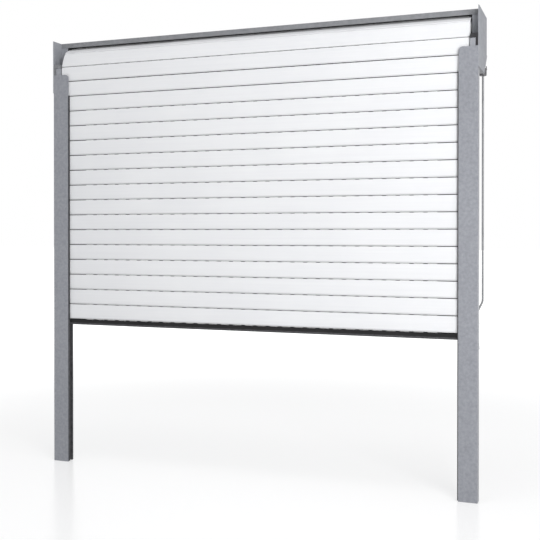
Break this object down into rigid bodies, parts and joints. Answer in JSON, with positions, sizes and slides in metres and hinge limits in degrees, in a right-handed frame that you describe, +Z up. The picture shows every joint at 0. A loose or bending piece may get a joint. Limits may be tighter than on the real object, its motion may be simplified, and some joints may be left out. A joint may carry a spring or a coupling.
{
  "type": "roller shutter",
  "caption": "Exterior roller shutter with an open box, slatted curtain, guide rails and a crank drive that turns with the barrel.",
  "frame": {"origin": "under the middle of the whole shutter, at the level of the rails' feet, midway between the street face and the crank's swivel joint", "axes": "+X along the width, towards the drive end; +Y into the building, away from the street face; +Z up"},
  "size_m": [1.105, 0.1568, 1.107],
  "materials": {
    "end_plate": "satin grey paint",
    "box_panel": "satin grey paint",
    "rail": "extruded, satin grey coating",
    "seal": "matte",
    "black_plastic": "fine grained",
    "gear_plastic": "moulded grey",
    "steel": "zinc plated",
    "brass": "machined",
    "slat": "white stove enamel on roll-formed sheet",
    "end_slat": "black coating on an extrusion",
    "crank_rod": "grey coated rod"
  },
  "bodies": {
    "frame": {"end_plate_left": "end_plate", "end_plate_right": "end_plate", "top_panel": "box_panel", "cover_rail": "box_panel", "back_panel": "box_panel", "bevel_panel": "box_panel", "bottom_panel": "box_panel", "guide_rail_left": "rail", "guide_rail_right": "rail", "rail_seals": "seal", "rail_feet": "black_plastic", "inlet_guide_left": "gear_plastic", "inlet_guide_right": "black_plastic", "idler_bracket": "gear_plastic", "idler_bearing": "steel", "idler_screws": "steel", "gear_housing": "gear_plastic", "drive_screws": "steel", "outlet_plate": "steel"},
    "curtain": {"slat_01": "slat", "slat_02": "slat", "slat_03": "slat", "slat_04": "slat", "slat_05": "slat", "slat_06": "slat", "slat_07": "slat", "slat_08": "slat", "slat_09": "slat", "slat_10": "slat", "slat_11": "slat", "slat_12": "slat", "slat_13": "slat", "slat_14": "slat", "slat_15": "slat", "slat_16": "slat", "payout_slat": "slat", "slat_locks": "black_plastic", "end_slat": "end_slat", "end_seal": "seal", "end_glides": "black_plastic"},
    "barrel": {"barrel_tube": "steel", "drive_cap": "gear_plastic", "idler_cap": "gear_plastic", "worm_wheel": "brass", "hanging_straps": "steel", "wound_slat_01": "slat", "wound_slat_02": "slat", "wound_slat_03": "slat", "wound_slat_04": "slat", "wound_slat_05": "slat", "wound_slat_06": "slat", "wound_slat_07": "slat", "wound_slat_08": "slat", "wound_slat_09": "slat", "wound_slat_10": "slat"},
    "drive_shaft": {"worm_shaft": "steel", "swivel_ball": "steel"},
    "swivel": {"joint_hood": "gear_plastic"},
    "crank": {"crank_rod": "crank_rod"},
    "grip": {"crank_grip": "gear_plastic"}
  },
  "joints": [
    {"name": "curtain_travel", "type": "slide", "parent": "frame", "child": "curtain", "axis": [0, 0, 1], "range_m": [-0.361, 0.03], "deforming": ["payout_slat"]},
    {"name": "barrel_turn", "type": "hinge", "parent": "frame", "child": "barrel", "pos_m": [0, -0.01144, 1.041], "axis": [1, 0, 0], "range_deg": [-32, 371]},
    {"name": "shaft_turn", "type": "hinge", "parent": "frame", "child": "drive_shaft", "pos_m": [0.5425, 0.06994, 0.98861], "axis": [0, 0.7071, -0.7071], "range_deg": [-155, 1848]},
    {"name": "crank_swing", "type": "hinge", "parent": "frame", "child": "swivel", "pos_m": [0.5425, 0.06994, 0.98861], "axis": [1, 0, 0], "range_deg": [0, 40]},
    {"name": "crank_turn", "type": "hinge", "parent": "swivel", "child": "crank", "pos_m": [0.5425, 0.06994, 0.98861], "axis": [0, 0, 1], "range_deg": [-155, 1848]},
    {"name": "grip_spin", "type": "hinge", "parent": "crank", "child": "grip", "pos_m": [0.53849, -0.02197, 0.33861], "axis": [0, 0, 1], "continuous": true}
  ],
  "couplings": [
    {"joint": "barrel_turn", "follows": "curtain_travel", "rad_per_m": -17.857},
    {"joint": "shaft_turn", "follows": "curtain_travel", "rad_per_m": -89.286},
    {"joint": "crank_turn", "follows": "curtain_travel", "rad_per_m": -89.286}
  ]
}
